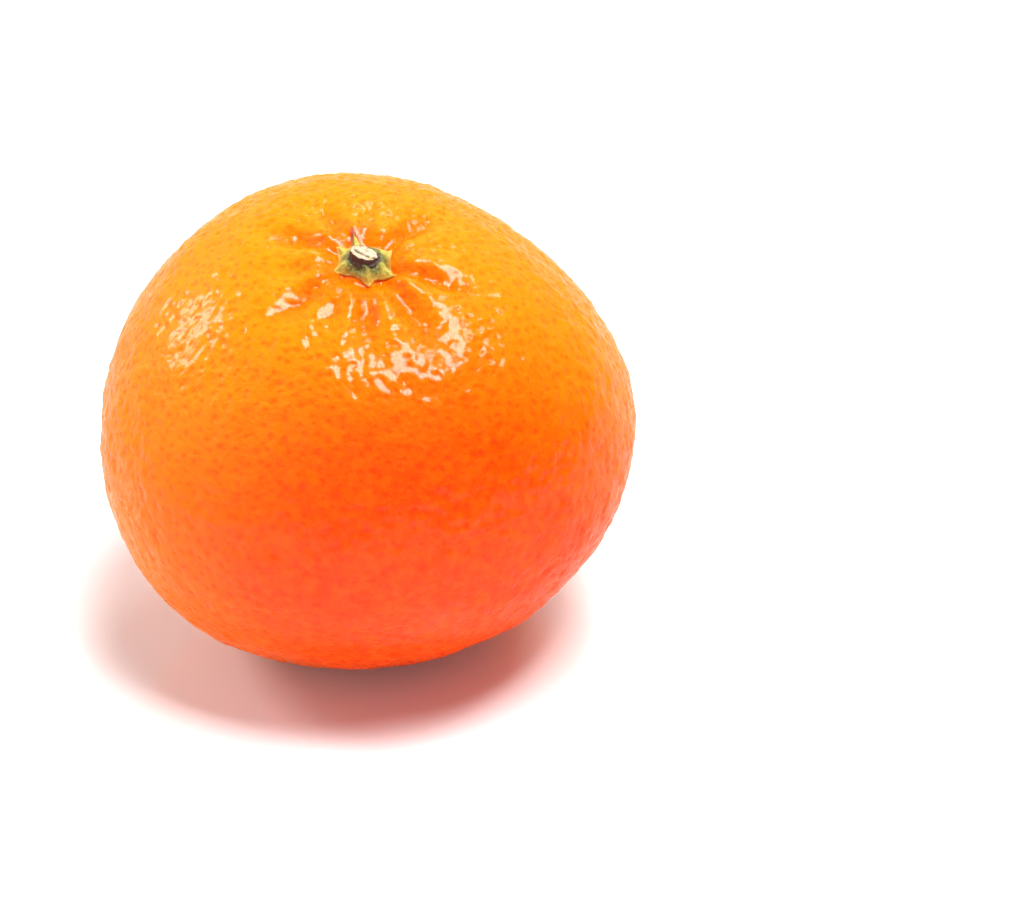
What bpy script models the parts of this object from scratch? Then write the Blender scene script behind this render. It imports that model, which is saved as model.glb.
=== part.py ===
"""A whole ripe mandarin as picked: the fruit, the green calyx on its stem end and the cut stub of its stalk.

World frame: metres, +Z up. The fruit stands on the plane z = 0 on a small flat spot centred on the origin.
Fruit frame: origin at the middle of the fruit, +Z along its own axis towards the stem end. That axis leans
from world +Z towards world -Y, because the fruit rests beside its blossom end and not on it.
Angles are in degrees: azimuth from +X towards +Y about an axis, and polar from the stem end.
"""

import math

import bmesh
import bpy
from mathutils import Matrix, Vector

MM = 0.001

# The fruit's form
EQUATOR_RADIUS = 32.2 * MM
AXIS_HALF_HEIGHT = 28.2 * MM
SHOULDER_POWER = 1.89  # 2 is an ellipse, less is a little more pointed, more is squarer
LEAN = 14.5
LEAN_TOWARDS = 268.0  # world azimuth
REST_DEPTH = 0.9 * MM  # how far the rind is pressed in where it stands

# The hollows at the two ends: depth, and the polar angle over which each fades
STEM_BASIN_DEPTH = 2.2 * MM
STEM_BASIN_SPREAD = 24.0
BLOSSOM_DIMPLE_DEPTH = 1.2 * MM
BLOSSOM_DIMPLE_SPREAD = 12.0

# The puffed rim of rind round the calyx: height, polar angle of its crest, and angle over which it fades
RIM_HEIGHT = 0.8 * MM
RIM_POLAR = 12.5
RIM_SPREAD = 4.5

# Broad unevenness: (azimuth, polar, spread, height), where a minus height is a flattened shoulder
SWELLINGS = (
    (37.0, 60.0, 37.0, -2.0 * MM),
    (122.0, 51.0, 39.0, 0.7 * MM),
    (216.0, 119.0, 34.0, 2.2 * MM),
)

# Furrows that run out from the stalk: (azimuth, depth, polar angle where it has faded out)
FURROWS = (
    (20.0, 0.60 * MM, 28.0),
    (50.0, 1.35 * MM, 36.0),
    (88.0, 1.00 * MM, 24.0),
    (117.0, 1.10 * MM, 32.0),
    (150.0, 1.55 * MM, 34.0),
    (187.0, 0.80 * MM, 28.0),
    (218.0, 1.20 * MM, 38.0),
    (245.0, 0.75 * MM, 34.0),
    (273.0, 1.30 * MM, 36.0),
    (308.0, 1.50 * MM, 40.0),
    (347.0, 1.55 * MM, 37.0),
)
FURROW_START = 3.5  # polar angle where every furrow begins, under the calyx
FURROW_FULL = 8.0  # polar angle by which it has its whole depth
FURROW_FADE = 0.45  # the share of its reach at which it starts to fade
FURROW_WIDTH = 1.1 * MM  # half width at the stalk
FURROW_FLARE = 0.09  # half width that it gains for each unit of distance from the stalk

# The calyx: a low green star of joined sepals
CALYX_COLLAR = 1.05 * MM  # how far its round middle stands out past the stub
CALYX_OFFSET = 0.45 * MM  # how far it grows out of true, and the azimuth to which it does
CALYX_OFFSET_TOWARDS = 90.0
SEPALS = (  # (azimuth, how far the sepal's point stands out past the round middle)
    (38.0, 1.0 * MM),
    (107.0, 1.6 * MM),
    (140.0, 1.3 * MM),
    (198.0, 1.0 * MM),
    (280.0, 1.0 * MM),
    (334.0, 1.6 * MM),
)
SEPAL_TAPER = 13.0  # degrees from a sepal's middle over which its length falls by a factor of e
CALYX_THICKNESS = 0.45 * MM
CALYX_EDGE = 0.40 * MM

# The stub of the stalk
STUB_BASE_RADIUS = 1.65 * MM
STUB_TOP_RADIUS = 1.50 * MM
STUB_HEIGHT = 0.80 * MM  # at its middle
STUB_SLANT = 22.0  # angle of the cut
STUB_SLANT_TOWARDS = 35.0  # the azimuth to which the cut face drops

GAP = 0.3 * MM  # clearance between pieces that touch

# How finely the surfaces are divided
FRUIT_SEGMENTS = 66
FRUIT_RINGS = 40
RING_CROWDING = 0.30  # how much closer the rings stand at the stem end
CALYX_SEGMENTS = 72
CALYX_RINGS = 10
STUB_SEGMENTS = 24
REST_SAMPLES = 90  # directions each way when the lowest part of the fruit is looked for
HEIGHT_STEPS = 12  # rounds in which the rind's height near the stalk settles
SHARP_ANGLE = 35.0
SAME_ANGLE = 0.01  # angles nearer than this are one
TABLE_SIDE = 4 * EQUATOR_RADIUS  # of the block that cuts the flat spot

# Colour and roughness of each piece
RIND = ((0.93, 0.30, 0.02), 0.35)
CALYX_GREEN = ((0.42, 0.43, 0.10), 0.55)
BARK = ((0.16, 0.11, 0.08), 0.75)

COLLECTION = "mandarin"


def clear_scene():
    for obj in list(bpy.data.objects):
        bpy.data.objects.remove(obj, do_unlink=True)


def new_collection(name):
    made = bpy.data.collections.new(name)
    bpy.context.scene.collection.children.link(made)
    return made


def material(name, colour, roughness):
    made = bpy.data.materials.new(name)
    made.use_nodes = True
    shader = made.node_tree.nodes["Principled BSDF"]
    shader.inputs["Base Color"].default_value = (*colour, 1.0)
    shader.inputs["Roughness"].default_value = roughness
    shader.inputs["Metallic"].default_value = 0.0
    made.diffuse_color = (*colour, 1.0)
    return made


def smoothstep(low, high, x):
    t = min(1.0, max(0.0, (x - low) / (high - low)))
    return t * t * (3 - 2 * t)


def bell(x, width):
    return math.exp(-((x / width) ** 2))


def direction(azimuth, polar):
    a, p = math.radians(azimuth), math.radians(polar)
    return Vector((math.sin(p) * math.cos(a), math.sin(p) * math.sin(a), math.cos(p)))


def smooth_radius(azimuth, polar):
    """Distance from the middle of the fruit to its rind without furrows: a super-ellipse turned about
    the axis, with the hollows at its two ends taken off, and the rim round the calyx and the broad
    swellings added."""
    p = math.radians(polar)
    across = (math.sin(p) / EQUATOR_RADIUS) ** SHOULDER_POWER
    along = (abs(math.cos(p)) / AXIS_HALF_HEIGHT) ** SHOULDER_POWER
    radius = (across + along) ** (-1 / SHOULDER_POWER)
    radius -= STEM_BASIN_DEPTH * bell(polar, STEM_BASIN_SPREAD)
    radius -= BLOSSOM_DIMPLE_DEPTH * bell(180.0 - polar, BLOSSOM_DIMPLE_SPREAD)
    radius += RIM_HEIGHT * bell(polar - RIM_POLAR, RIM_SPREAD)
    here = direction(azimuth, polar)
    for swelling_azimuth, swelling_polar, spread, height in SWELLINGS:
        away = math.degrees(here.angle(direction(swelling_azimuth, swelling_polar)))
        radius += height * bell(away, spread)
    return radius


def furrow_depth(azimuth, polar):
    """How deep the furrows are here: each is a bell-shaped valley along its azimuth, which starts under
    the calyx, widens outwards and fades out."""
    depth = 0.0
    out = EQUATOR_RADIUS * math.sin(math.radians(polar))
    for furrow_azimuth, deepest, reach in FURROWS:
        turn = math.radians(azimuth - furrow_azimuth)
        if math.cos(turn) <= 0 or polar >= reach:
            continue
        sideways = out * math.sin(turn)
        width = FURROW_WIDTH + FURROW_FLARE * out
        fade = 1 - smoothstep(FURROW_FADE * reach, reach, polar)
        depth += deepest * bell(sideways, width) * smoothstep(FURROW_START, FURROW_FULL, polar) * fade
    return depth


def rind_point(azimuth, polar):
    """A point of the rind in the fruit's frame."""
    return direction(azimuth, polar) * (smooth_radius(azimuth, polar) - furrow_depth(azimuth, polar))


def rind_height(azimuth, reach):
    """Height in the fruit's frame of the unfurrowed rind at a distance from the axis, near the stem end."""
    polar = 0.0
    for _ in range(HEIGHT_STEPS):
        polar = math.degrees(math.asin(reach / smooth_radius(azimuth, polar)))
    return smooth_radius(azimuth, polar) * math.cos(math.radians(polar))


def leaning():
    """Turns the fruit's frame to how it lies, about the level line square to the way it leans."""
    return Matrix.Rotation(math.radians(LEAN), 4, direction(LEAN_TOWARDS + 90.0, 90.0))


def middle_of_fruit():
    """World place of the middle of the fruit that puts the flat spot in z = 0, centred on the origin."""
    turn = leaning()
    points = [
        turn @ rind_point(360.0 * i / REST_SAMPLES, 90.0 + 90.0 * j / REST_SAMPLES)
        for i in range(REST_SAMPLES)
        for j in range(1, REST_SAMPLES)
    ]
    table = min(p.z for p in points) + REST_DEPTH
    pressed = [p for p in points if p.z < table]
    x = (min(p.x for p in pressed) + max(p.x for p in pressed)) / 2
    y = (min(p.y for p in pressed) + max(p.y for p in pressed)) / 2
    return Vector((-x, -y, -table))


def add_mesh(bm, name, collection, parent, finish):
    """Puts a finished bmesh in the scene as one smooth-shaded object of the fruit."""
    bmesh.ops.recalc_face_normals(bm, faces=bm.faces)
    mesh = bpy.data.meshes.new(name)
    bm.to_mesh(mesh)
    bm.free()
    mesh.shade_smooth()
    mesh.set_sharp_from_angle(angle=math.radians(SHARP_ANGLE))
    mesh.materials.append(finish)
    obj = bpy.data.objects.new(name, mesh)
    obj.parent = parent
    collection.objects.link(obj)
    return obj


def polar_place(co):
    """(azimuth, polar) in degrees of a point on the unit sphere."""
    return math.degrees(math.atan2(co.y, co.x)) % 360.0, math.degrees(math.acos(max(-1.0, min(1.0, co.z))))


def make_fruit(collection, parent, finish):
    """A sphere with its rings crowded towards the stem end and its every point moved out to the rind."""
    bm = bmesh.new()
    bmesh.ops.create_uvsphere(bm, u_segments=FRUIT_SEGMENTS, v_segments=FRUIT_RINGS, radius=1.0)
    for vertex in bm.verts:
        azimuth, polar = polar_place(vertex.co)
        crowded = polar - math.degrees(RING_CROWDING * math.sin(math.radians(polar)))
        vertex.co = rind_point(azimuth, crowded)
    return add_mesh(bm, "fruit", collection, parent, finish)


def press_flat(fruit, cutters):
    """Cuts the flat spot where the fruit stands, with a block whose top is the table."""
    bpy.ops.mesh.primitive_cube_add(size=TABLE_SIDE, location=(0.0, 0.0, -TABLE_SIDE / 2))
    table = bpy.context.object
    table.name = "table_cutter"
    for owner in list(table.users_collection):
        owner.objects.unlink(table)
    cutters.objects.link(table)
    table.hide_render = True
    table.display_type = "WIRE"
    cut = fruit.modifiers.new("flat_spot", "BOOLEAN")
    cut.operation = "DIFFERENCE"
    cut.object = table


def calyx_body_radius():
    return STUB_BASE_RADIUS + CALYX_COLLAR


def calyx_reach(azimuth):
    """Distance from the stalk to the calyx's edge: a round middle with a pointed sepal at each azimuth."""
    reach = calyx_body_radius() + CALYX_OFFSET * math.cos(math.radians(azimuth - CALYX_OFFSET_TOWARDS))
    for sepal_azimuth, length in SEPALS:
        turn = abs((azimuth - sepal_azimuth + 180.0) % 360.0 - 180.0)
        reach += length * math.exp(-turn / SEPAL_TAPER)
    return reach


def seat_height():
    """Height in the fruit's frame of the level middle of the calyx, which the stub stands on."""
    return rind_height(0.0, 0.0) + GAP + CALYX_THICKNESS


def calyx_point(azimuth, polar):
    """Where a point of the unit sphere goes: its lower half lies along the rind, its upper half is level
    under the stub and then falls to the thin edge, and its equator is the outline."""
    share = 1 - abs(1 - polar / 90.0)
    reach = share * calyx_reach(azimuth)
    under = rind_height(azimuth, reach) + GAP
    fall = smoothstep(STUB_BASE_RADIUS + GAP, calyx_body_radius(), reach)
    over = (1 - fall) * seat_height() + fall * (under + CALYX_EDGE)
    if abs(polar - 90.0) < SAME_ANGLE:
        height = (under + over) / 2
    else:
        height = over if polar < 90.0 else under
    a = math.radians(azimuth)
    return Vector((reach * math.cos(a), reach * math.sin(a), height))


def make_calyx(collection, parent, finish):
    """A sphere pressed into a thin star that follows the rind."""
    bm = bmesh.new()
    bmesh.ops.create_uvsphere(bm, u_segments=CALYX_SEGMENTS, v_segments=2 * CALYX_RINGS, radius=1.0)
    for vertex in bm.verts:
        vertex.co = calyx_point(*polar_place(vertex.co))
    return add_mesh(bm, "calyx", collection, parent, finish)


def make_stub(collection, parent, finish):
    """A short cone on the seat of the calyx, with its top cut at a slant."""
    bm = bmesh.new()
    bmesh.ops.create_cone(
        bm,
        cap_ends=True,
        segments=STUB_SEGMENTS,
        radius1=STUB_BASE_RADIUS,
        radius2=STUB_TOP_RADIUS,
        depth=STUB_HEIGHT,
    )
    fall = direction(STUB_SLANT_TOWARDS, 90.0)
    for vertex in bm.verts:
        if vertex.co.z > 0:
            vertex.co.z -= vertex.co.dot(fall) * math.tan(math.radians(STUB_SLANT))
        vertex.co.z += seat_height() + GAP + STUB_HEIGHT / 2
    return add_mesh(bm, "stem_stub", collection, parent, finish)


def main():
    clear_scene()
    mandarin = new_collection(COLLECTION)
    cutters = new_collection("cutters")

    axis = bpy.data.objects.new("fruit_axis", None)
    axis.matrix_world = Matrix.Translation(middle_of_fruit()) @ leaning()
    mandarin.objects.link(axis)

    rind = material("rind", *RIND)
    green = material("calyx_green", *CALYX_GREEN)
    bark = material("stalk_bark", *BARK)

    fruit = make_fruit(mandarin, axis, rind)
    press_flat(fruit, cutters)
    make_calyx(mandarin, axis, green)
    make_stub(mandarin, axis, bark)


main()
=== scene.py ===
"""A ripe mandarin on a white studio floor.

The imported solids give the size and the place. Three finer pieces stand for them: a rind with its furrows,
pebbling and sunken oil glands, the green star of the calyx, and the cut stub of the stalk. They are worked
out in the fruit's frame, which has its origin in the middle of the fruit and +Z along the fruit's own axis
towards the stem end, and are then leaned and set down in the world. Azimuths and polar angles are in degrees:
azimuth from +X towards +Y about the axis, and polar from the stem end.
"""

import math

import bpy
import numpy as np
from mathutils import Matrix, Vector


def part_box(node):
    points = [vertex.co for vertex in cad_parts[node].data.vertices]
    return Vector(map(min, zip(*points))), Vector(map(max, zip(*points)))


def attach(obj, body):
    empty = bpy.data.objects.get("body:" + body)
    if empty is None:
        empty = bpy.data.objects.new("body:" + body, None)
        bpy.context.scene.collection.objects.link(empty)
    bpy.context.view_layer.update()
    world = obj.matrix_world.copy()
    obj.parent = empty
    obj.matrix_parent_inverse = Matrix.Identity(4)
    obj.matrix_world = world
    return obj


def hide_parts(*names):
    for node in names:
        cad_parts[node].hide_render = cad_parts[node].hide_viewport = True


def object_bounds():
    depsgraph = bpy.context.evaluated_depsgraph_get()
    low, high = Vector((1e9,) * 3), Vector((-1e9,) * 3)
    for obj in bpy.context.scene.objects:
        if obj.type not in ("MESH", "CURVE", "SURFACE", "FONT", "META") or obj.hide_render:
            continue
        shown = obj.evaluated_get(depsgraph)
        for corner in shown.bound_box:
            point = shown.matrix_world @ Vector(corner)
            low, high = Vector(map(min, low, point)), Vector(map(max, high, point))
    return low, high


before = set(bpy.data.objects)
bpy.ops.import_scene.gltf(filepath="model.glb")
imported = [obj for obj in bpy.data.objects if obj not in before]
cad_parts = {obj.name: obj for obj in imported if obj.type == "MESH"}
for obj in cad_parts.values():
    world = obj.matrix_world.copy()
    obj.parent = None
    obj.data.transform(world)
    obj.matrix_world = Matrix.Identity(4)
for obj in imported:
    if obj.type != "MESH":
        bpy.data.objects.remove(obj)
cad_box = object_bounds()

MM = 0.001

# The fruit's form, as the solid has it
EQUATOR_RADIUS = 32.2 * MM
AXIS_HALF_HEIGHT = 28.2 * MM
SHOULDER_POWER = 1.89
LEAN = 14.5
LEAN_TOWARDS = 268.0
STEM_BASIN_DEPTH = 2.2 * MM
STEM_BASIN_SPREAD = 24.0
RIM_HEIGHT = 0.8 * MM
RIM_POLAR = 12.5
RIM_SPREAD = 4.5
BLOSSOM_DIMPLE_DEPTH = 1.2 * MM
BLOSSOM_DIMPLE_SPREAD = 12.0
SWELLINGS = (  # azimuth, polar, spread, height
    (37.0, 60.0, 37.0, -2.0 * MM),
    (122.0, 51.0, 39.0, 0.7 * MM),
    (216.0, 119.0, 34.0, 2.2 * MM),
)
FURROWS = (  # azimuth, depth, polar angle where it has faded out
    (20.0, 0.60 * MM, 28.0),
    (50.0, 1.35 * MM, 36.0),
    (88.0, 1.00 * MM, 24.0),
    (117.0, 1.10 * MM, 32.0),
    (150.0, 1.55 * MM, 34.0),
    (187.0, 0.80 * MM, 28.0),
    (218.0, 1.20 * MM, 38.0),
    (245.0, 0.75 * MM, 34.0),
    (273.0, 1.30 * MM, 36.0),
    (308.0, 1.50 * MM, 40.0),
    (347.0, 1.55 * MM, 37.0),
)
FURROW_START = 3.5
FURROW_FULL = 8.0
FURROW_FADE = 0.45
FURROW_WIDTH = 1.1 * MM
FURROW_FLARE = 0.09

HEIGHT_STEPS = 12  # rounds in which the rind's height near the stalk settles
FORM_SAMPLES = 361  # directions each way when the form's own box is measured

# The rind's surface
GRID = 128  # squares along each side of the cube that the rind's grid is blown up from
CROWDING = 0.25  # how much closer the grid stands at the stem end
WAVES = 56  # cosine waves added up in each grain of unevenness
RELIEF_INSET = 0.20 * MM  # keeps the crests of the relief within the solid's size
LUMPS = ((10.0 * MM, 0.06 * MM), (4.5 * MM, 0.040 * MM), (2.1 * MM, 0.030 * MM))  # wavelength, height
PEBBLE = (1.25 * MM, 0.027 * MM)
CALM = (4.0, 14.0)  # polar angles between which the fine relief grows from its least, round the calyx
CALM_SHARE = 0.7
GLANDS = 5000
GLAND_SEED = 7
GLAND_JITTER = 0.24  # of the distance between glands
GLAND_RADII = (0.36 * MM, 0.66 * MM)
GLAND_RARITY = 1.6  # more than 1 makes large glands rarer than small ones
GLAND_DEPTH = 0.13  # share of its radius
GLAND_PIT = 0.9  # half width of its pit, in its radii
GLAND_REACH = 3.0  # distance from it that is still told apart, in its radii
BLUSH_AND_SHADE = (287.0, 90.0)  # azimuth and polar angle of the middle of the deep orange side, partly a real blush and partly painted shade
BLUSH_AND_SHADE_SPREAD = 62.0
PRESSED = 0.25 * MM  # height over which the rind rolls into the flat spot

# The calyx
STUB_BASE_RADIUS = 1.65 * MM
CALYX_COLLAR = 1.05 * MM
CALYX_OFFSET = 0.45 * MM
CALYX_OFFSET_TOWARDS = 90.0
SEPALS = (  # azimuth, length of its point past the round middle, taper in degrees, lift of its tip
    (38.0, 1.0 * MM, 15.0, 0.10 * MM),
    (107.0, 2.3 * MM, 5.0, 0.40 * MM),
    (140.0, 1.3 * MM, 13.0, 0.15 * MM),
    (198.0, 1.1 * MM, 14.0, 0.00 * MM),
    (280.0, 1.0 * MM, 15.0, 0.00 * MM),
    (334.0, 1.6 * MM, 13.0, 0.10 * MM),
)
SEPAL_BLUNTNESS = 2.0  # degrees over which a sepal's point is rounded
KEEL_SPREAD = 17.0  # degrees
KEEL_HEIGHT = 0.45 * MM
DRY_SEPAL = 107.0  # the one whose tip has dried
DRY_SPREAD = 9.0  # degrees
SEAT_HEIGHT = 0.75 * MM  # top of the calyx round the stub, above the rind
FLESH = 0.50 * MM  # height of the sepals between their keels, above the rind
EDGE_THINNING = 0.72  # share of the height that is lost at the edge
MOAT_DEPTH = 0.22 * MM  # of the groove round the stub
MOAT_WIDTH = 0.25 * MM
MOAT_AT = 1.1  # its distance from the stalk, in the stub's radii
CALYX_SINK = 0.25 * MM  # how deep the under side is sunk in the rind
NUB_AT = (302.0, 2.9 * MM)  # azimuth and distance of the small knob between two sepals
NUB_RADIUS = 0.33 * MM
NUB_HEIGHT = 0.35 * MM
CALYX_GRAINS = ((1.0 * MM, 0.070 * MM), (0.5 * MM, 0.032 * MM))  # wavelength, height
CALYX_GRAIN_SEED = 21
CALYX_GRID = (56, 420)  # rows from the stalk over the edge and back, columns round

# The stub
STUB_TOP_RADIUS = 1.50 * MM
STUB_SLANT = 22.0
STUB_SLANT_TOWARDS = 35.0
STUB_HEIGHT = 0.40 * MM  # middle of the cut face, above the seat
STUB_SINK = 0.45 * MM  # depth of its foot, below the seat
STUB_FLARE = 0.18 * MM  # how much wider its foot is
STUB_SIDE = (0.12, 0.62)  # where the bark begins and where the rim is, on the way along the profile
CUT_CROWN = 0.16 * MM  # how far the rim of the cut face is worn down
BARK_GROOVES = ((7, 1.0, 1.0), (11, 0.8, 2.2), (17, 0.6, 0.4))  # number round, weight, start in radians
BARK_GROOVE_DEPTH = 0.035 * MM
BARK_OVAL = 0.06 * MM  # how far the stub is out of round
BARK_GRAIN = (0.7 * MM, 0.03 * MM)
BARK_GRAIN_SEED = 31
CRACK_AZIMUTH = -25.0
CRACK_ASIDE = 0.12 * MM  # its distance from the middle of the cut face
CRACK_START = -1.1 * MM
CRACK_WIDTH = 0.21 * MM
CRACK_DEPTH = 0.30 * MM
STUB_GRID = (72, 180)  # rows up the side and in over the cut face, columns round

# Colours
# The rind's yellow and deep orange are partly its own colours and partly painted light and painted shade:
# yellower where the light falls, deep orange on the shaded lower front.
RIND_YELLOW_AND_LIT = (1.0, 0.210, 0.003, 1.0)
RIND_DEEP_AND_SHADED = (1.0, 0.060, 0.0, 1.0)
RIND_MOTTLE = (1.0, 0.28, 0.004, 1.0)
# Painted shade in the furrows.
RIND_FURROW_SHADE = (0.97, 0.11, 0.0, 1.0)
GLAND_DARKENING = (0.93, 0.62, 0.6, 1.0)
WAX_TINT = (1.0, 0.65, 0.2, 1.0)
# The sepals' dark and light colours are partly painted shade in the valleys and the groove round the stub,
# and painted light on the keels.
SEPAL_DARK_AND_SHADED = (0.12, 0.12, 0.022, 1.0)
SEPAL_LIGHT_AND_LIT = (0.43, 0.39, 0.06, 1.0)
SEPAL_FLECK = (0.80, 0.70, 0.30, 1.0)
SEPAL_EDGE = (0.50, 0.27, 0.03, 1.0)
SEPAL_DRIED = (0.35, 0.055, 0.025, 1.0)
BARK_DARK = (0.018, 0.010, 0.009, 1.0)
BARK_LIGHT = (0.085, 0.045, 0.035, 1.0)
WOOD_PALE = (0.56, 0.46, 0.31, 1.0)
WOOD_FIBRE = (0.26, 0.17, 0.08, 1.0)
WOOD_CRACK = (0.10, 0.055, 0.02, 1.0)
FLOOR_GREY = (0.90, 0.90, 0.90, 1.0)
FLOOR_WHITE = (0.93, 0.93, 0.93, 1.0)
WHITE = (1.0, 1.0, 1.0, 1.0)

# Where the camera stands: its aim is beside the middle of the fruit, which leaves room on the right
CAMERA_ELEVATION = 31.5
CAMERA_DISTANCE = 520.7 * MM
AIM_RIGHT = 17.3 * MM
AIM_DOWN = 4.8 * MM
LENS = 152.4

# Lamps: name, azimuth, elevation, width, height, power in watts
SOFTBOXES = (
    ("overhead_softbox", 330.0, 77.0, 0.28, 0.36, 8.0),
    ("right_softbox", 18.0, 57.0, 0.16, 0.16, 1.2),
    ("back_softbox", 80.0, 55.0, 0.17, 0.17, 1.0),
    ("side_softbox", 155.0, 28.0, 0.15, 0.24, 2.0),
)
SOFTBOX_DISTANCE = 0.7
FLOOR_HALF = 3.0  # half the side of the floor

# How bright the surroundings are, each way
WORLD_LIGHT = (
    ((0.0, 1.0, 0.0), 0.7),
    ((0.0, -1.0, 0.0), 0.45),
    ((-1.0, 0.0, 0.0), 0.85),
    ((1.0, 0.0, 0.0), 0.1),
)


# Shapes ------------------------------------------------------------------------------------------------


def bell(x, width):
    """1 where x is 0, and fading out over the width."""
    return np.exp(-((x / width) ** 2))


def smoothstep(low, high, x):
    """0 up to low, 1 from high on, and an even S between."""
    t = np.clip((x - low) / (high - low), 0.0, 1.0)
    return t * t * (3 - 2 * t)


def turned_from(azimuth, other):
    """Degrees between two azimuths, always 0 to 180."""
    return np.abs((azimuth - other + 180.0) % 360.0 - 180.0)


def direction(azimuth, polar):
    """Unit vectors for angles in degrees."""
    a, p = np.radians(azimuth), np.radians(polar)
    return np.stack([np.sin(p) * np.cos(a), np.sin(p) * np.sin(a), np.cos(p)], axis=-1)


def angles(directions):
    """Azimuth and polar angle in degrees of unit vectors."""
    azimuth = np.degrees(np.arctan2(directions[..., 1], directions[..., 0])) % 360.0
    polar = np.degrees(np.arccos(np.clip(directions[..., 2], -1.0, 1.0)))
    return azimuth, polar


def ripples(points, wavelength, seed):
    """Random unevenness of one grain: cosine waves of one length that run every way through space, added
    up and scaled so that the spread of the sum is 1."""
    rng = np.random.default_rng(seed)
    ways = rng.normal(size=(WAVES, 3))
    ways /= np.linalg.norm(ways, axis=1, keepdims=True)
    phases = rng.uniform(0.0, 2 * np.pi, WAVES)
    waves = np.cos(points @ ways.T * (2 * np.pi / wavelength) + phases)
    return waves.sum(axis=-1) * math.sqrt(2 / WAVES)


def smooth_radius(azimuth, polar):
    """Distance from the middle of the fruit to the unfurrowed rind: a super-ellipse turned about the axis,
    less the hollows at its two ends, plus the puffed rim round the calyx and the broad swellings."""
    p = np.radians(polar)
    across = (np.sin(p) / EQUATOR_RADIUS) ** SHOULDER_POWER
    along = (np.abs(np.cos(p)) / AXIS_HALF_HEIGHT) ** SHOULDER_POWER
    radius = (across + along) ** (-1 / SHOULDER_POWER)
    radius = radius - STEM_BASIN_DEPTH * bell(polar, STEM_BASIN_SPREAD)
    radius = radius + RIM_HEIGHT * bell(polar - RIM_POLAR, RIM_SPREAD)
    radius = radius - BLOSSOM_DIMPLE_DEPTH * bell(180.0 - polar, BLOSSOM_DIMPLE_SPREAD)
    here = direction(azimuth, polar)
    for swelling_azimuth, swelling_polar, spread, height in SWELLINGS:
        near = here @ direction(swelling_azimuth, swelling_polar)
        radius = radius + height * bell(np.degrees(np.arccos(np.clip(near, -1, 1))), spread)
    return radius


def furrow_depth(azimuth, polar):
    """Depth of the furrows: each is a bell-shaped valley along its azimuth, which starts under the calyx,
    widens outwards and fades out."""
    out = EQUATOR_RADIUS * np.sin(np.radians(polar))
    depth = np.zeros_like(polar)
    for furrow_azimuth, deepest, reach in FURROWS:
        turn = np.radians(azimuth - furrow_azimuth)
        across = bell(out * np.sin(turn), FURROW_WIDTH + FURROW_FLARE * out) * (np.cos(turn) > 0)
        fade = 1 - smoothstep(FURROW_FADE * reach, reach, polar)
        along = smoothstep(FURROW_START, FURROW_FULL, polar) * fade
        depth += deepest * across * along
    return depth


def rind_height(azimuth, reach):
    """Height in the fruit's frame of the rind at a distance from the axis, near the stem end."""
    polar = np.zeros_like(reach)
    for _ in range(HEIGHT_STEPS):
        polar = np.degrees(np.arcsin(reach / smooth_radius(azimuth, polar)))
    radius = smooth_radius(azimuth, polar) - furrow_depth(azimuth, polar)
    return radius * np.cos(np.radians(polar))


def lean_matrix():
    """Turns the fruit's frame to how it lies, about the level line square to the way it leans."""
    towards = math.radians(LEAN_TOWARDS + 90.0)
    level_line = Vector((math.cos(towards), math.sin(towards), 0.0))
    return np.array(Matrix.Rotation(math.radians(LEAN), 3, level_line))


def middle_of_fruit():
    """Where the middle of the fruit is: the leaned form's sides and top are brought to the solid's box."""
    round_about = np.linspace(0, 360, FORM_SAMPLES)
    from_stem = np.linspace(0, 180, FORM_SAMPLES)
    azimuth, polar = np.meshgrid(round_about, from_stem, indexing="ij")
    form = direction(azimuth, polar) * smooth_radius(azimuth, polar)[..., None]
    form = form.reshape(-1, 3) @ lean_matrix().T
    low, high = (np.array(corner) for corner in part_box("fruit"))
    shift = (low + high) / 2 - (form.min(axis=0) + form.max(axis=0)) / 2
    shift[2] = high[2] - form[:, 2].max()
    return shift


def in_world(points):
    """Takes points from the fruit's frame to the world."""
    return points @ lean_matrix().T + middle_of_fruit()


# Meshes ------------------------------------------------------------------------------------------------


def ball_grid(count):
    """Directions all round and the squares between them: a cube whose six faces are grids of count by
    count squares, blown up to a ball with equal angles. Points on a shared edge are one vertex."""
    steps = np.arange(count + 1)
    i, j = np.meshgrid(steps, steps, indexing="ij")
    low, high = np.zeros_like(i), np.full_like(i, count)
    faces = ((low, j, i), (high, i, j), (i, low, j), (j, high, i), (j, i, low), (i, j, high))
    lattice = np.concatenate([np.stack(face, axis=-1).reshape(-1, 3) for face in faces])
    keys = lattice @ np.array([1, count + 1, (count + 1) ** 2])
    _, first, vertex = np.unique(keys, return_index=True, return_inverse=True)
    spread = np.tan((lattice[first] / count - 0.5) * np.pi / 2)
    number = vertex.reshape(6, count + 1, count + 1)
    corners = (number[:, :-1, :-1], number[:, 1:, :-1], number[:, 1:, 1:], number[:, :-1, 1:])
    squares = np.stack(corners, axis=-1).reshape(-1, 4)
    return spread / np.linalg.norm(spread, axis=1, keepdims=True), squares


def wrapped_grid(points):
    """Closes a grid of rows by columns into a skin: columns run round, and the first and the last row are
    poles, each drawn together to one vertex. Returns vertices, squares and triangles."""
    rows, columns = points.shape[:2]
    inner = points[1:-1].reshape(-1, 3)
    vertices = np.concatenate([inner, points[:1, 0], points[-1:, 0]])
    number = np.arange((rows - 2) * columns).reshape(rows - 2, columns)
    after = np.roll(number, -1, axis=1)
    squares = np.stack([number[:-1], number[1:], after[1:], after[:-1]], axis=-1).reshape(-1, 4)
    first, last = len(inner), len(inner) + 1
    top = np.stack([np.full(columns, first), number[0], after[0]], axis=-1)
    bottom = np.stack([number[-1], np.full(columns, last), after[-1]], axis=-1)
    return vertices, squares, np.concatenate([top, bottom])


def wrapped_values(values):
    """One value a vertex for a grid that wrapped_grid has closed."""
    return np.concatenate([values[1:-1].ravel(), values[:1, 0], values[-1:, 0]])


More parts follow.
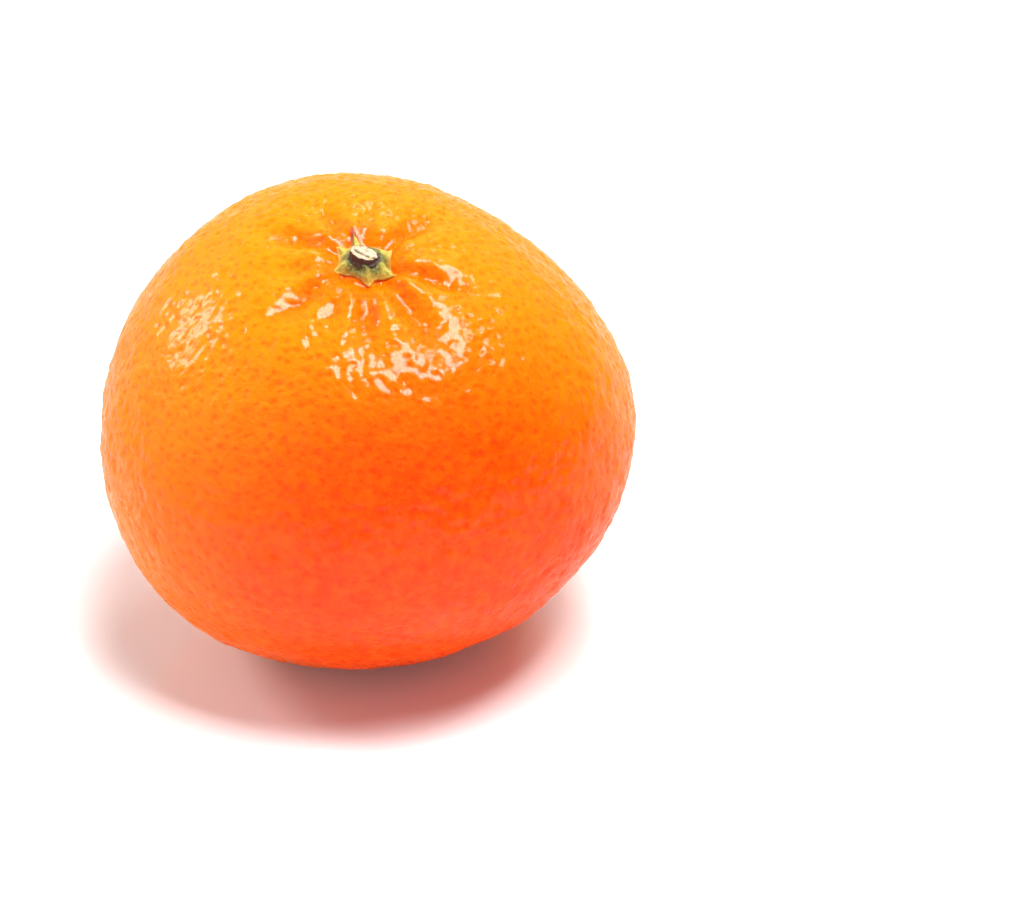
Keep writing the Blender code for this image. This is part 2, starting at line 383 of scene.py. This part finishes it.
def new_piece(name, vertices, faces, material, node, **values):
    """A smooth-shaded piece that stands for a solid, with its named values kept one a vertex."""
    mesh = bpy.data.meshes.new(name)
    mesh.from_pydata(vertices.tolist(), [], [face for group in faces for face in group.tolist()])
    mesh.shade_smooth()
    for attribute, numbers in values.items():
        mesh.attributes.new(attribute, "FLOAT", "POINT").data.foreach_set("value", numbers.astype(np.float32))
    mesh.materials.append(material)
    piece = bpy.data.objects.new(name, mesh)
    bpy.context.scene.collection.objects.link(piece)
    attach(piece, "root")
    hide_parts(node)
    return piece


# Materials ---------------------------------------------------------------------------------------------


def add(tree, kind, inputs=None, **settings):
    """Adds a shader node. inputs gives each input a value, or another node's output."""
    made = tree.nodes.new(kind)
    for name, value in settings.items():
        setattr(made, name, value)
    for key, value in (inputs or {}).items():
        if isinstance(value, bpy.types.NodeSocket):
            tree.links.new(value, made.inputs[key])
        else:
            made.inputs[key].default_value = value
    return made


def new_finish(name):
    """An empty material: its node tree, its shader and the piece's own coordinates."""
    material = bpy.data.materials.new(name)
    material.use_nodes = True
    tree = material.node_tree
    return material, tree, tree.nodes["Principled BSDF"], add(tree, "ShaderNodeTexCoord").outputs["Object"]


def speckle(tree, where, size, detail=2.0, roughness=0.5, distortion=0.0):
    """Cloudy noise, 0 to 1, whose patches are about this size."""
    inputs = {
        "Vector": where,
        "Scale": 1 / size,
        "Detail": detail,
        "Roughness": roughness,
        "Distortion": distortion,
    }
    return add(tree, "ShaderNodeTexNoise", inputs).outputs["Fac"]


def graded(tree, value, low, high, start=0.0, end=1.0):
    """value taken smoothly from the range low to high to the range start to end."""
    inputs = {"Value": value, 1: low, 2: high, 3: start, 4: end}
    return add(tree, "ShaderNodeMapRange", inputs, interpolation_type="SMOOTHSTEP").outputs["Result"]


def worked(tree, operation, a, b):
    return add(tree, "ShaderNodeMath", {0: a, 1: b}, operation=operation).outputs["Value"]


def tinted(tree, share, under, over, blend="MIX"):
    """over laid on under by a share from 0 to 1."""
    inputs = {0: share, 6: under, 7: over}
    return add(tree, "ShaderNodeMix", inputs, data_type="RGBA", blend_type=blend).outputs[2]


def kept_value(tree, name):
    return add(tree, "ShaderNodeAttribute", attribute_name=name).outputs["Fac"]


def rind_finish():
    """Waxy orange rind with darker red-orange glands, deep orange on one side, partly a real blush and partly
    painted shade, yellower elsewhere, partly painted light, and with painted shade in the furrows.
    """
    material, tree, shader, where = new_finish("rind")
    gland = kept_value(tree, "gland")
    blush = kept_value(tree, "blush")
    furrow = kept_value(tree, "furrow")

    patches = speckle(tree, where, 9 * MM, 3.0)
    # Painted shade: the deep orange side, partly a real blush, is darker; the rest is yellower, partly
    # painted light. Random patches break it up.
    blush_shade_and_patches = worked(tree, "ADD", blush, worked(tree, "MULTIPLY", patches, 0.2))
    base = tinted(tree, graded(tree, blush_shade_and_patches, 0.15, 0.95), RIND_YELLOW_AND_LIT, RIND_DEEP_AND_SHADED)
    mottle = speckle(tree, where, 1.6 * MM, 4.0, 0.6)
    base = tinted(tree, graded(tree, mottle, 0.35, 0.7, 0.0, 0.14), base, RIND_MOTTLE)
    # Painted shade in the furrows: darker red-orange by the furrow's depth.
    base = tinted(tree, graded(tree, furrow, 0.2, 1.0, 0.0, 0.65), base, RIND_FURROW_SHADE)
    dot = graded(tree, gland, 0.0, 1.5, 0.5, 0.0)
    base = tinted(tree, dot, base, GLAND_DARKENING, "MULTIPLY")
    tree.links.new(base, shader.inputs["Base Color"])

    wax = speckle(tree, where, 3 * MM, 2.0)
    tree.links.new(graded(tree, wax, 0.3, 0.7, 0.24, 0.34), shader.inputs["Roughness"])
    shader.inputs["Specular IOR Level"].default_value = 0.05
    shader.inputs["Specular Tint"].default_value = WAX_TINT
    shader.inputs["Coat Weight"].default_value = 0.048
    shader.inputs["Coat IOR"].default_value = 3.5
    shader.inputs["Coat Roughness"].default_value = 0.09
    shader.inputs["IOR"].default_value = 1.42
    shader.inputs["Subsurface Weight"].default_value = 0.3
    shader.inputs["Subsurface Radius"].default_value = (1.0, 0.25, 0.05)
    shader.inputs["Subsurface Scale"].default_value = 3 * MM

    pits = graded(tree, gland, 0.0, 1.3)
    grain = speckle(tree, where, 0.65 * MM, 2.0, 0.5)
    relief = worked(tree, "ADD", worked(tree, "MULTIPLY", pits, 0.4), grain)
    bump = add(tree, "ShaderNodeBump", {"Height": relief, "Strength": 1.0, "Distance": 0.20 * MM})
    tree.links.new(bump.outputs["Normal"], shader.inputs["Normal"])
    return material


def calyx_finish():
    """Fleshy yellow-green sepals with painted light on their keels and painted shade in the valleys and the
    groove round the stub, browner at the edges. One tip has dried.
    """
    material, tree, shader, where = new_finish("calyx_green")
    keel = kept_value(tree, "keel")
    share = kept_value(tree, "share")
    dry = kept_value(tree, "dry")
    patches = speckle(tree, where, 0.9 * MM, 4.0, 0.6)
    # Painted light on the keels and painted shade in the valleys and the groove round the stub, broken by
    # random patches.
    painted_light_and_patches = worked(tree, "ADD", keel, worked(tree, "MULTIPLY", patches, 0.7))
    base = tinted(tree, graded(tree, painted_light_and_patches, 0.3, 1.2), SEPAL_DARK_AND_SHADED, SEPAL_LIGHT_AND_LIT)
    fibres = speckle(tree, where, 0.3 * MM, 3.0)
    base = tinted(tree, graded(tree, fibres, 0.55, 0.75, 0.0, 0.5), base, SEPAL_FLECK)
    base = tinted(tree, graded(tree, share, 0.78, 1.0, 0.0, 0.55), base, SEPAL_EDGE)
    base = tinted(tree, dry, base, SEPAL_DRIED)
    tree.links.new(base, shader.inputs["Base Color"])
    tree.links.new(graded(tree, patches, 0.3, 0.7, 0.42, 0.6), shader.inputs["Roughness"])
    shader.inputs["Specular IOR Level"].default_value = 0.35
    grain = speckle(tree, where, 0.22 * MM, 3.0)
    bump = add(tree, "ShaderNodeBump", {"Height": grain, "Strength": 1.0, "Distance": 0.05 * MM})
    tree.links.new(bump.outputs["Normal"], shader.inputs["Normal"])
    return material


def stub_finish():
    """Dark bark round the stub and a pale, dry cut face with a brown crack."""
    material, tree, shader, where = new_finish("stalk_bark")
    cut = kept_value(tree, "cut")
    crack = kept_value(tree, "crack")
    fibres = speckle(tree, where, 0.5 * MM, 4.0, 0.65)
    bark = tinted(tree, graded(tree, fibres, 0.35, 0.7), BARK_DARK, BARK_LIGHT)
    wood = tinted(tree, graded(tree, fibres, 0.4, 0.75), WOOD_PALE, WOOD_FIBRE)
    base = tinted(tree, cut, bark, wood)
    base = tinted(tree, crack, base, WOOD_CRACK)
    tree.links.new(base, shader.inputs["Base Color"])
    tree.links.new(graded(tree, fibres, 0.3, 0.7, 0.5, 0.8), shader.inputs["Roughness"])
    bump = add(tree, "ShaderNodeBump", {"Height": fibres, "Strength": 1.0, "Distance": 0.08 * MM})
    tree.links.new(bump.outputs["Normal"], shader.inputs["Normal"])
    return material


def floor_finish():
    """A white, smooth, glossy table top with a faint light of its own, which keeps shadows on it soft."""
    material, tree, shader, where = new_finish("studio_floor")
    cloud = speckle(tree, where, 400 * MM, 1.0)
    base = tinted(tree, cloud, FLOOR_GREY, FLOOR_WHITE)
    tree.links.new(base, shader.inputs["Base Color"])
    shader.inputs["Roughness"].default_value = 0.15
    shader.inputs["Specular IOR Level"].default_value = 0.6
    shader.inputs["Emission Color"].default_value = WHITE
    shader.inputs["Emission Strength"].default_value = 0.03
    return material


# Pieces ------------------------------------------------------------------------------------------------


def gland_centres(count, rng):
    """Evenly spread directions: points on a spiral that turns by the golden angle, each moved a little."""
    k = np.arange(count) + 0.5
    azimuth = k * 180.0 * (3 - math.sqrt(5))
    centres = direction(azimuth, np.degrees(np.arccos(1 - 2 * k / count)))
    apart = math.sqrt(4 * np.pi / count)
    centres = centres + rng.normal(size=centres.shape) * apart * GLAND_JITTER
    return centres / np.linalg.norm(centres, axis=1, keepdims=True)


def nearest_glands(directions, centres, slice_size=2048):
    """For each direction, its nearest centre, and for each centre, its nearest direction. Nearest has the
    largest cosine of the angle between. Done a slice of directions at a time."""
    gland = np.empty(len(directions), dtype=np.int64)
    best = np.full(len(centres), -2.0)
    closest = np.zeros(len(centres), dtype=np.int64)
    turned = centres.T.astype(np.float32)
    for start in range(0, len(directions), slice_size):
        part = slice(start, start + slice_size)
        cosines = directions[part].astype(np.float32) @ turned
        gland[part] = cosines.argmax(axis=1)
        highest = cosines.max(axis=0)
        better = highest > best
        closest[better] = start + cosines.argmax(axis=0)[better]
        best[better] = highest[better]
    return gland, closest


def make_rind():
    """The rind as radii over a ball grid: the smooth form, less furrows and glands, with lumps and pebbling.
    The grid's nearest vertex is moved to the middle of each gland, so that no pit falls between vertices.
    Where it would go below the floor it is rolled flat: z becomes (z + h)^2 / 4h within h of the floor. Each
    vertex keeps its distance from the nearest gland, its share of the deep orange side, which is partly a
    real blush and partly painted shade, and its depth of furrow, which also sets the furrows' painted shade."""
    rng = np.random.default_rng(GLAND_SEED)
    directions, squares = ball_grid(GRID)
    azimuth, polar = angles(directions)
    directions = direction(azimuth, polar - np.degrees(CROWDING * np.sin(np.radians(polar))))

    centres = gland_centres(GLANDS, rng)
    smallest, largest = GLAND_RADII
    sizes = smallest + (largest - smallest) * rng.uniform(size=GLANDS) ** GLAND_RARITY
    gland, closest = nearest_glands(directions, centres)
    directions[closest] = centres
    gland[closest] = np.arange(GLANDS)
    azimuth, polar = angles(directions)
    radius = smooth_radius(azimuth, polar)
    away = np.linalg.norm(directions - centres[gland], axis=1) * radius / sizes[gland]

    form = directions * radius[:, None]
    furrow = furrow_depth(azimuth, polar)
    # The deep orange side is partly a real blush and partly painted shade.
    from_blush = np.degrees(np.arccos(np.clip(directions @ direction(*BLUSH_AND_SHADE), -1.0, 1.0)))
    blush = bell(from_blush, BLUSH_AND_SHADE_SPREAD)
    fine = CALM_SHARE + (1 - CALM_SHARE) * smoothstep(*CALM, polar)
    relief = -RELIEF_INSET - furrow - fine * GLAND_DEPTH * sizes[gland] * bell(away, GLAND_PIT)
    for seed, (wavelength, height) in enumerate(LUMPS):
        relief += height * ripples(form, wavelength, seed)
    wavelength, height = PEBBLE
    relief += fine * height * ripples(form, wavelength, len(LUMPS))
    points = in_world(directions * (radius + relief)[:, None])
    z = points[:, 2]
    rolled = (z + PRESSED) ** 2 / (4 * PRESSED)
    points[:, 2] = np.where(z > PRESSED, z, np.where(z > -PRESSED, rolled, 0.0))

    piece = new_piece(
        "rind",
        points,
        [squares],
        rind_finish(),
        "fruit",
        gland=np.minimum(away, GLAND_REACH),
        blush=blush,
        # The furrow's depth also sets the furrows' painted shade.
        furrow=furrow / MM,
    )


def calyx_outline(azimuth):
    """Distance from the stalk to the calyx's edge, how much each azimuth lies on a sepal's keel, and how far
    the edge is lifted there. A sepal adds its length, which falls off exponentially to each side."""
    body = STUB_BASE_RADIUS + CALYX_COLLAR
    reach = body + CALYX_OFFSET * np.cos(np.radians(azimuth - CALYX_OFFSET_TOWARDS))
    keel = np.zeros_like(azimuth)
    lift = np.zeros_like(azimuth)
    for sepal_azimuth, length, taper, tip_lift in SEPALS:
        turn = turned_from(azimuth, sepal_azimuth)
        blunt = np.sqrt(turn**2 + SEPAL_BLUNTNESS**2) - SEPAL_BLUNTNESS
        reach += length * np.exp(-blunt / taper)
        keel = np.maximum(keel, bell(turn, KEEL_SPREAD))
        lift += tip_lift * bell(turn, taper)
    return reach, keel, lift


def make_calyx():
    """A thin skin that goes out from the stalk over the sepals and back along the rind: across runs from 0 at
    the stalk to 1 at the edge and 2 back at the stalk. Its upper side has a moat round the stub, a keel along
    each sepal, a small knob and a thin edge; its under side is sunk in the rind."""
    rows, columns = CALYX_GRID
    across = np.linspace(0.0, 2.0, rows + 1)
    azimuth = np.linspace(0.0, 360.0, columns, endpoint=False)
    across, azimuth = np.meshgrid(across, azimuth, indexing="ij")
    upper = across <= 1.0
    share = np.where(upper, across, 2.0 - across)
    edge, keel, lift = calyx_outline(azimuth)
    reach = share * edge
    ground = rind_height(azimuth, reach) - RELIEF_INSET
    body = STUB_BASE_RADIUS + CALYX_COLLAR
    fleshy = FLESH + KEEL_HEIGHT * keel
    thickness = SEAT_HEIGHT + (fleshy - SEAT_HEIGHT) * smoothstep(0.8 * STUB_BASE_RADIUS, 0.8 * body, reach)
    moat = reach - MOAT_AT * STUB_BASE_RADIUS
    thickness -= MOAT_DEPTH * bell(moat, MOAT_WIDTH)
    thickness *= 1 - EDGE_THINNING * smoothstep(0.70, 1.0, share)
    thickness += lift * share**4
    a = np.radians(azimuth)
    x, y = reach * np.cos(a), reach * np.sin(a)
    nub_azimuth, nub_reach = math.radians(NUB_AT[0]), NUB_AT[1]
    from_nub = np.hypot(x - nub_reach * math.cos(nub_azimuth), y - nub_reach * math.sin(nub_azimuth))
    thickness += NUB_HEIGHT * bell(from_nub, NUB_RADIUS)
    under = lift * share**4 - CALYX_SINK
    points = np.stack([x, y, ground + np.where(upper, thickness, under)], axis=-1)
    rough = 0.0
    for seed, (wavelength, height) in enumerate(CALYX_GRAINS, CALYX_GRAIN_SEED):
        rough = rough + height * ripples(points, wavelength, seed)
    points[..., 2] += rough * upper * (1 - smoothstep(0.9, 1.0, share))
    vertices, squares, triangles = wrapped_grid(points)
    dry = smoothstep(0.70, 0.82, share) * bell(turned_from(azimuth, DRY_SEPAL), DRY_SPREAD)
    piece = new_piece(
        "calyx_star",
        in_world(vertices),
        [squares, triangles],
        calyx_finish(),
        "calyx",
        # The keel, less round the stub's groove, sets the calyx's painted light and painted shade.
        keel=wrapped_values(keel * (1 - bell(moat, 2 * MOAT_WIDTH))),
        share=wrapped_values(share),
        dry=wrapped_values(dry),
    )


def make_stub():
    """A profile carried round the stalk: out to the foot, up the grooved bark, over a worn rim and in across
    the cut face, which slants and has a crack through it."""
    rows, columns = STUB_GRID
    along = np.linspace(0.0, 1.0, rows)
    azimuth = np.linspace(0.0, 360.0, columns, endpoint=False)
    along, azimuth = np.meshgrid(along, azimuth, indexing="ij")
    a = np.radians(azimuth)
    low, high = STUB_SIDE
    rise = np.clip((along - low) / (high - low), 0.0, 1.0)
    inwards = np.clip((along - high) / (1 - high), 0.0, 1.0)
    radius = STUB_BASE_RADIUS + (STUB_TOP_RADIUS - STUB_BASE_RADIUS) * rise
    radius += STUB_FLARE * (1 - smoothstep(0.0, 0.35, rise))
    grooves = sum(weight * np.cos(count * a + start) for count, weight, start in BARK_GROOVES)
    radius += BARK_GROOVE_DEPTH * grooves + BARK_OVAL * np.cos(2 * a + 0.7)
    radius *= np.minimum(along / low, 1.0) * np.sqrt(np.clip(1 - inwards**1.6, 0.0, 1.0))
    x, y = radius * np.cos(a), radius * np.sin(a)

    seat = float(rind_height(np.array([0.0]), np.array([0.0]))[0]) + SEAT_HEIGHT
    fall = math.radians(STUB_SLANT_TOWARDS)
    slope = (x * math.cos(fall) + y * math.sin(fall)) * math.tan(math.radians(STUB_SLANT))
    top = seat + STUB_HEIGHT - slope - CUT_CROWN * (1 - (radius / STUB_TOP_RADIUS) ** 2)
    way = math.radians(CRACK_AZIMUTH)
    from_crack = x * math.sin(way) - y * math.cos(way) - CRACK_ASIDE
    crack = bell(from_crack, CRACK_WIDTH) * smoothstep(0.02, 0.2, inwards) * (x > CRACK_START)
    top = top - CRACK_DEPTH * crack
    bottom = seat - STUB_SINK
    height = bottom + (top - bottom) * rise
    points = np.stack([x, y, height], axis=-1)
    wavelength, roughness = BARK_GRAIN
    points[..., 2] += roughness * ripples(points, wavelength, BARK_GRAIN_SEED) * (along > low)
    vertices, squares, triangles = wrapped_grid(points)
    piece = new_piece(
        "stalk_stub",
        in_world(vertices),
        [squares[:, ::-1], triangles[:, ::-1]],
        stub_finish(),
        "stem_stub",
        cut=wrapped_values(smoothstep(0.04, 0.16, inwards)),
        crack=wrapped_values(crack),
    )


# Studio ------------------------------------------------------------------------------------------------


def add_floor():
    """A level square, far wider than what is in view."""
    side = FLOOR_HALF
    corners = [(-side, -side, 0.0), (side, -side, 0.0), (side, side, 0.0), (-side, side, 0.0)]
    mesh = bpy.data.meshes.new("studio_floor")
    mesh.from_pydata(corners, [], [(0, 1, 2, 3)])
    mesh.materials.append(floor_finish())
    floor = bpy.data.objects.new("studio_floor", mesh)
    bpy.context.scene.collection.objects.link(floor)


def add_softbox(name, azimuth, elevation, width, height, power):
    """A rectangular lamp that faces the fruit from a direction."""
    lamp = bpy.data.lights.new(name, "AREA")
    lamp.shape = "RECTANGLE"
    lamp.size = width
    lamp.size_y = height
    lamp.energy = power
    obj = bpy.data.objects.new(name, lamp)
    away = Vector(direction(azimuth, 90.0 - elevation))
    obj.location = Vector(middle_of_fruit()) + away * SOFTBOX_DISTANCE
    obj.rotation_euler = away.to_track_quat("Z", "Y").to_euler()
    bpy.context.scene.collection.objects.link(obj)


def add_world():
    """White surroundings that light the fruit from all sides, each side strongest square to it and fading
    as the square of the cosine."""
    world = bpy.data.worlds.new("studio")
    world.use_nodes = True
    tree = world.node_tree
    strength = 0.0
    where = add(tree, "ShaderNodeTexCoord").outputs["Generated"]
    for side, brightness in WORLD_LIGHT:
        facing = add(tree, "ShaderNodeVectorMath", {0: where, 1: side}, operation="DOT_PRODUCT")
        lobe = worked(tree, "POWER", worked(tree, "MAXIMUM", facing.outputs["Value"], 0.0), 2.0)
        strength = worked(tree, "ADD", strength, worked(tree, "MULTIPLY", lobe, brightness))
    tree.links.new(strength, tree.nodes["Background"].inputs["Strength"])
    tree.nodes["Background"].inputs["Color"].default_value = WHITE
    bpy.context.scene.world = world


def add_camera():
    """Looks down on the fruit's front, at a point beside its middle and a little below it."""
    low, high = (Vector(corner) for corner in cad_box)
    elevation = math.radians(CAMERA_ELEVATION)
    back = Vector((0.0, -math.cos(elevation), math.sin(elevation)))
    right = Vector((1.0, 0.0, 0.0))
    up = back.cross(right)
    data = bpy.data.cameras.new("camera")
    data.lens = LENS
    data.sensor_width = 36.0
    data.clip_start = 0.01
    camera = bpy.data.objects.new("camera", data)
    camera.location = (low + high) / 2 + right * AIM_RIGHT - up * AIM_DOWN + back * CAMERA_DISTANCE
    camera.rotation_euler = (math.pi / 2 - elevation, 0.0, 0.0)
    bpy.context.scene.collection.objects.link(camera)
    bpy.context.scene.camera = camera


make_rind()
make_calyx()
make_stub()
add_floor()
for softbox in SOFTBOXES:
    add_softbox(*softbox)
add_world()
add_camera()
bpy.context.scene.view_settings.view_transform = "Standard"
